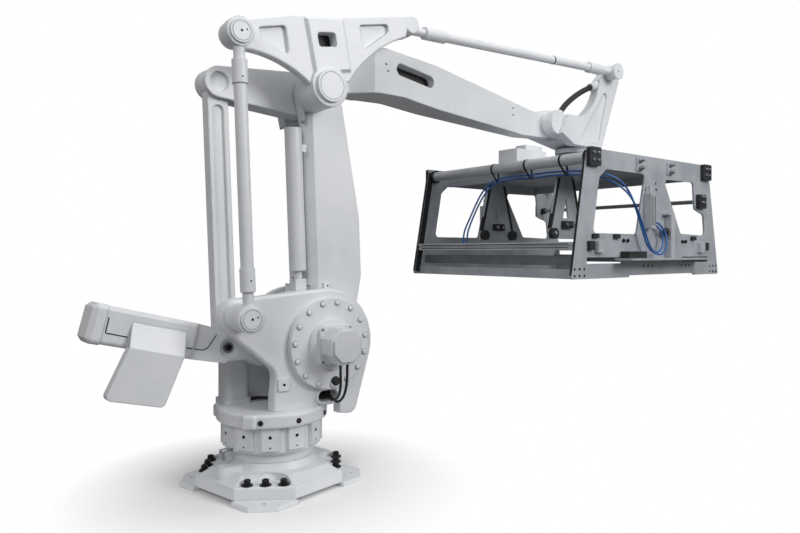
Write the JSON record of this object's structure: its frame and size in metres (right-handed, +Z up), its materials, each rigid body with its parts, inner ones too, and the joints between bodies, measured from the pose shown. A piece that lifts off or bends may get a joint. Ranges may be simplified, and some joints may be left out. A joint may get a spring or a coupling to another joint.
{
  "type": "palletising robot arm",
  "caption": "Floor standing palletising robot: slewing turret, parallel link arms, counterweight tail and a large aluminium frame gripper that stays level.",
  "frame": {"origin": "slewing axis at floor level", "axes": "+X forward along the arm, +Z up, -Y the side with the link plate"},
  "size_m": [4.04, 1.616, 2.478],
  "materials": {
    "white_paint": "satin paint",
    "motor_paint": "satin paint",
    "steel": "machined",
    "plate_aluminium": "milled",
    "black_plastic": "matte",
    "black_rubber": "smooth",
    "blue_hose": "smooth"
  },
  "bodies": {
    "footing": {"floor_plates": "white_paint", "base_casting": "white_paint"},
    "turret": {"slewing_housing": "white_paint", "turret_bed": "white_paint", "near_side_frame": "white_paint", "far_side_frame": "white_paint", "shoulder_shaft": "steel", "shoulder_flange_near": "white_paint", "shoulder_flange_far": "white_paint", "shoulder_motor_near": "motor_paint", "shoulder_motor_far": "motor_paint", "slewing_motor": "motor_paint", "motor_cable_left": "black_rubber", "motor_cable_right": "black_rubber"},
    "column": {"lower_arm": "white_paint", "elbow_shaft": "steel", "balance_tube": "white_paint"},
    "balancer": {"balance_rod": "white_paint"},
    "leveller": {"link_plate": "white_paint", "elbow_cap": "white_paint"},
    "rear_bar": {"rear_link_tube": "white_paint", "rear_link_upper_end": "white_paint", "rear_link_lower_end": "white_paint"},
    "crank": {"crank_lever": "white_paint", "counterweight": "white_paint", "counterweight_cap": "white_paint", "counterweight_guard": "white_paint"},
    "pivot_pin": {"crank_pin": "steel"},
    "lift_bar": {"crank_rod": "white_paint"},
    "boom": {"upper_arm": "white_paint"},
    "front_bar": {"front_link_tube": "white_paint", "front_link_rear_end": "white_paint", "front_link_wrist_end": "white_paint"},
    "wrist": {"tilt_housing": "white_paint", "wrist_hose": "black_rubber"},
    "gripper": {"tool_flange": "steel", "adapter": "plate_aluminium", "top_plate": "plate_aluminium", "end_plate_near": "plate_aluminium", "end_plate_far": "plate_aluminium", "left_tube": "plate_aluminium", "right_tube": "plate_aluminium", "cross_rod": "steel", "tube_clamps_near": "black_plastic", "tube_clamps_far": "black_plastic", "profile_rails": "plate_aluminium", "low_rails": "plate_aluminium", "kick_plates": "plate_aluminium", "a_frames": "plate_aluminium", "rollers": "black_plastic", "lift_cylinders": "plate_aluminium", "guide_posts": "plate_aluminium", "trays": "plate_aluminium", "valve_blocks": "black_plastic", "deck_box": "white_paint", "air_hose_left": "blue_hose", "air_hose_right": "blue_hose"}
  },
  "joints": [
    {"name": "turret_swing", "type": "hinge", "parent": "footing", "child": "turret", "pos_m": [0, 0, 0.14], "axis": [0, 0, 1], "range_deg": [-170, 170]},
    {"name": "lower_arm_lean", "type": "hinge", "parent": "turret", "child": "column", "pos_m": [0.2, 0, 0.685], "axis": [0, 1, 0], "range_deg": [-12, 30]},
    {"name": "leveller_turn", "type": "hinge", "parent": "column", "child": "leveller", "pos_m": [0.15, 0, 1.929], "axis": [0, 1, 0], "range_deg": [-31, 13]},
    {"name": "upper_arm_lift", "type": "hinge", "parent": "leveller", "child": "boom", "pos_m": [0.15, 0, 1.929], "axis": [0, 1, 0], "range_deg": [-8, 22]},
    {"name": "front_link_turn", "type": "hinge", "parent": "leveller", "child": "front_bar", "pos_m": [0.671, 0, 2.335], "axis": [0, 1, 0], "range_deg": [-9, 23]},
    {"name": "wrist_tilt", "type": "hinge", "parent": "boom", "child": "wrist", "pos_m": [2.083, 0, 2.014], "axis": [0, 1, 0], "range_deg": [-23, 9]},
    {"name": "gripper_turn", "type": "hinge", "parent": "wrist", "child": "gripper", "pos_m": [2.42, 0, 1.841], "axis": [0, 0, 1], "range_deg": [-170, 170]},
    {"name": "rear_link_turn", "type": "hinge", "parent": "turret", "child": "rear_bar", "pos_m": [-0.28, 0, 0.842], "axis": [0, 1, 0], "range_deg": [-13, 31]},
    {"name": "crank_turn", "type": "hinge", "parent": "turret", "child": "crank", "pos_m": [0.2, 0, 0.685], "axis": [0, 1, 0], "range_deg": [-9, 23]},
    {"name": "crank_pin_turn", "type": "hinge", "parent": "crank", "child": "pivot_pin", "pos_m": [-0.253, 0, 0.685], "axis": [0, 1, 0], "range_deg": [-24, 10]},
    {"name": "crank_rod_turn", "type": "hinge", "parent": "pivot_pin", "child": "lift_bar", "pos_m": [-0.253, 0, 0.685], "axis": [0, 1, 0], "range_deg": [-14, 32]},
    {"name": "balance_slide", "type": "slide", "parent": "column", "child": "balancer", "axis": [0.0402, 0, -0.9992], "range_m": [-0.027, 0.064]}
  ],
  "couplings": [
    {"joint": "leveller_turn", "follows": "lower_arm_lean", "ratio": -1},
    {"joint": "rear_link_turn", "follows": "lower_arm_lean", "ratio": 1},
    {"joint": "crank_rod_turn", "follows": "lower_arm_lean", "ratio": 1},
    {"joint": "balance_slide", "follows": "lower_arm_lean", "m_per_rad": 0.11937},
    {"joint": "front_link_turn", "follows": "upper_arm_lift", "ratio": 1},
    {"joint": "wrist_tilt", "follows": "upper_arm_lift", "ratio": -1},
    {"joint": "crank_turn", "follows": "upper_arm_lift", "ratio": 1},
    {"joint": "crank_pin_turn", "follows": "upper_arm_lift", "ratio": -1}
  ]
}
